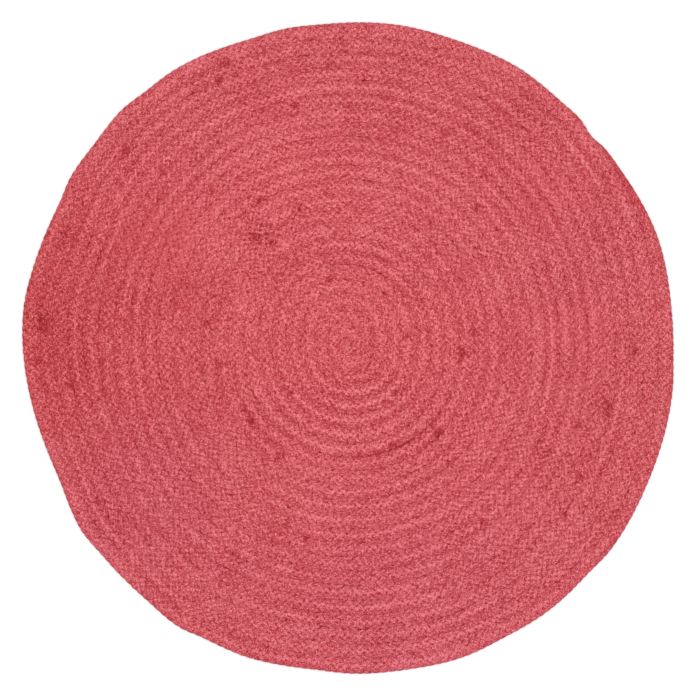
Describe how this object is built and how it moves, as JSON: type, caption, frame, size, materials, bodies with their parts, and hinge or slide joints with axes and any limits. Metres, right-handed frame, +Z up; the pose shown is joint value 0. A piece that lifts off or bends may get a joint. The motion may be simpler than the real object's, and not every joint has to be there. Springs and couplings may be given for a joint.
{
  "type": "round braided jute rug",
  "caption": "Round flat rug of one dyed jute braid, coiled from the middle and sewn turn to turn, lying flat on the floor.",
  "frame": {"origin": "on the floor, under the middle of the rug's box", "axes": "+Z up out of the rug's top, +X to the right and +Y away as seen in the picture from straight above"},
  "size_m": [1.1986, 1.1974, 0.01],
  "materials": {
    "dyed_jute": "coral dyed jute yarn, dull and coarse, with darker and lighter fibres"
  },
  "bodies": {
    "root": {"braided_rug": "dyed_jute"}
  },
  "joints": []
}
